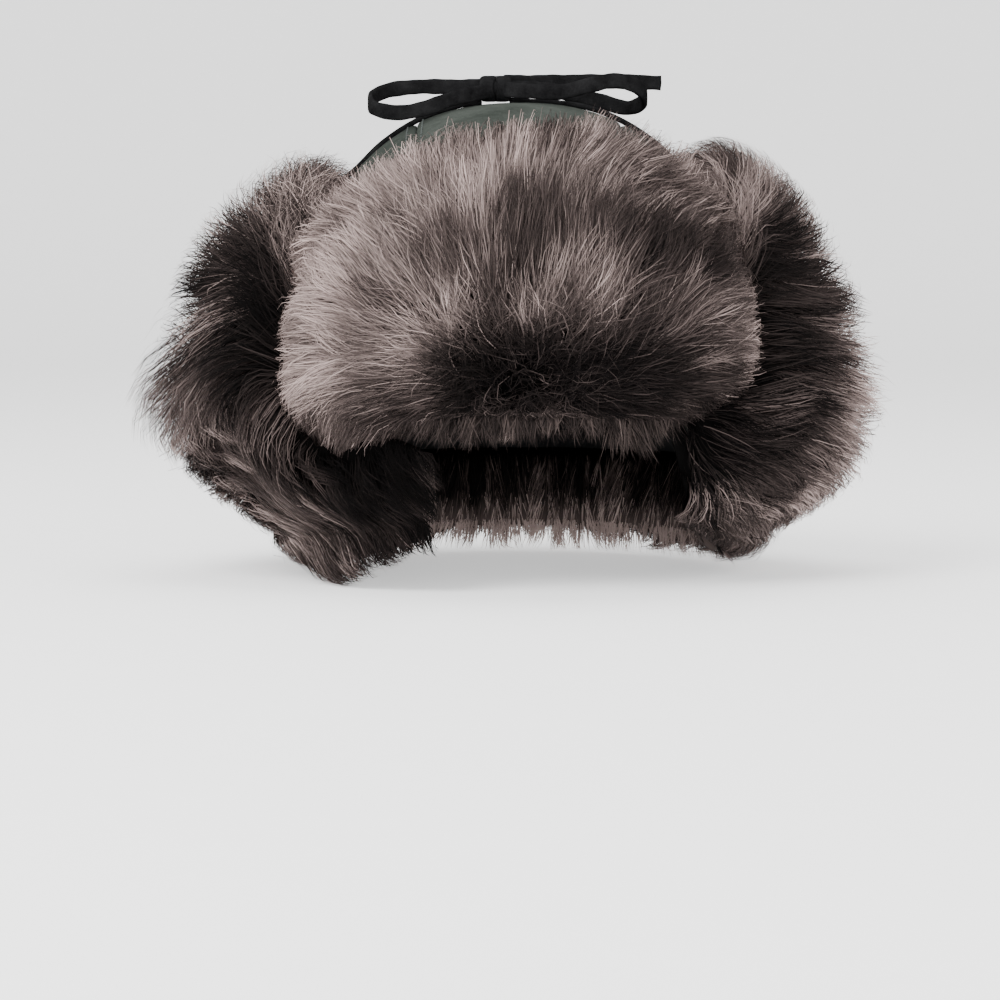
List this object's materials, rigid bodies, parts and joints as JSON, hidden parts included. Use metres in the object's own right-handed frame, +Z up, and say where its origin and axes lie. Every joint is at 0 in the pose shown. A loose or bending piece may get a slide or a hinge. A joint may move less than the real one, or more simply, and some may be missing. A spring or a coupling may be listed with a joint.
{
  "type": "aviator hat",
  "caption": "Suede aviator hat lined with long-haired fur, its brow, ear and neck flaps turned up and the ear flaps' laces tied in a bow on the crown.",
  "frame": {"origin": "on the floor that the hat stands on, below the middle of its bounding box without the laces", "axes": "+Z up, -Y towards the wearer's face, +X towards the wearer's left"},
  "size_m": [0.3204, 0.2944, 0.214],
  "materials": {
    "crown_suede": "matt napped suede, dark grey green",
    "flap_suede": "matt napped suede, dark grey green",
    "lining": "matt black woven lining",
    "fur": "long-haired fur, dark brown at the roots and taupe towards the tips",
    "rim_fur": "shorter brown fur",
    "lace": "flat black suede lace"
  },
  "bodies": {
    "root": {"crown_center": "crown_suede", "crown_left": "crown_suede", "crown_right": "crown_suede", "crown_lining": "lining", "front_flap": "flap_suede", "ear_flap_left": "flap_suede", "ear_flap_right": "flap_suede", "neck_flap": "flap_suede", "front_flap_fur": "fur", "ear_fur_left": "fur", "ear_fur_right": "fur", "neck_fur": "fur", "rim_fur": "rim_fur", "tie_left": "lace", "tie_right": "lace", "bow_knot": "lace", "bow_loop_left": "lace", "bow_loop_right": "lace", "bow_tail_left": "lace", "bow_tail_right": "lace"}
  },
  "joints": []
}
